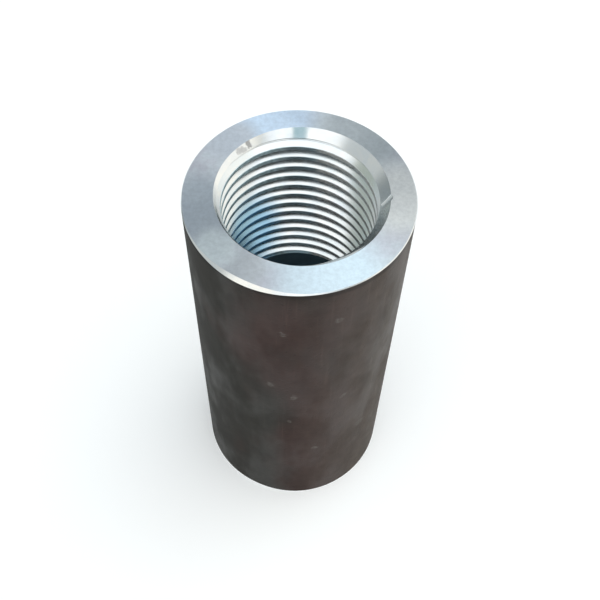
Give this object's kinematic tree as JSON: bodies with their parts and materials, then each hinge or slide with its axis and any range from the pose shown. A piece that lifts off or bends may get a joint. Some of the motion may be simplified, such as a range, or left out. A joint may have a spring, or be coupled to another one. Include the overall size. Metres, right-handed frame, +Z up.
{
  "type": "rebar coupler",
  "caption": "Round steel sleeve, threaded inside from both ends, that joins two 25 mm reinforcing bars end to end.",
  "frame": {"origin": "centre of the end face that the sleeve stands on", "axes": "+Z up along the sleeve's axis; X and Y lie in the end face, and the sleeve is round about Z"},
  "size_m": [0.038, 0.038, 0.08],
  "materials": {
    "steel": "dark hot-rolled mill scale outside and in the middle of the bore; bright turned steel on the end faces, countersinks and threads"
  },
  "bodies": {
    "root": {"sleeve": "steel"}
  },
  "joints": []
}
